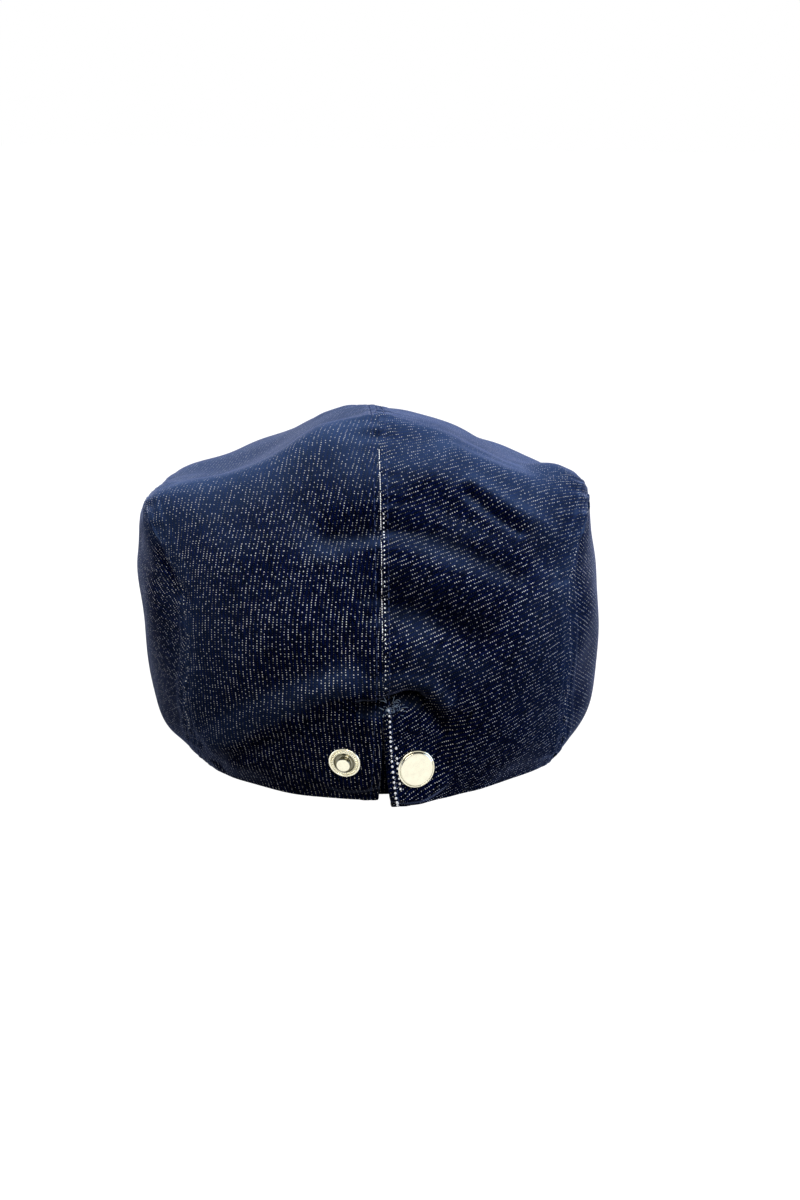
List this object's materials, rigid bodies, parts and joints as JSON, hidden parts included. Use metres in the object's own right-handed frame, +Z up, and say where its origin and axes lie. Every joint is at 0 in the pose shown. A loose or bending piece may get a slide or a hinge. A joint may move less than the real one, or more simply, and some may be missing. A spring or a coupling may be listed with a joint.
{
  "type": "denim flat cap with a snap slit at the back",
  "caption": "Soft denim flat cap lying as it rests: panelled crown, arched peak, and a short slit at the back that closes with a metal snap.",
  "frame": {"origin": "on the surface that the cap rests on, under the middle of its footprint", "axes": "+Z up; -Y towards the peak at the front; +Y towards the slit at the back; +X towards the wearer's left"},
  "size_m": [0.1938, 0.2593, 0.1425],
  "materials": {
    "denim": "dark indigo twill with off-white flecks",
    "snap_metal": "bright warm nickel"
  },
  "bodies": {
    "root": {"crown_left": "denim", "crown_right": "denim", "side_left": "denim", "side_right": "denim", "peak": "denim", "slit_underlap": "denim", "snap_stud": "snap_metal", "snap_cap": "snap_metal"}
  },
  "joints": []
}
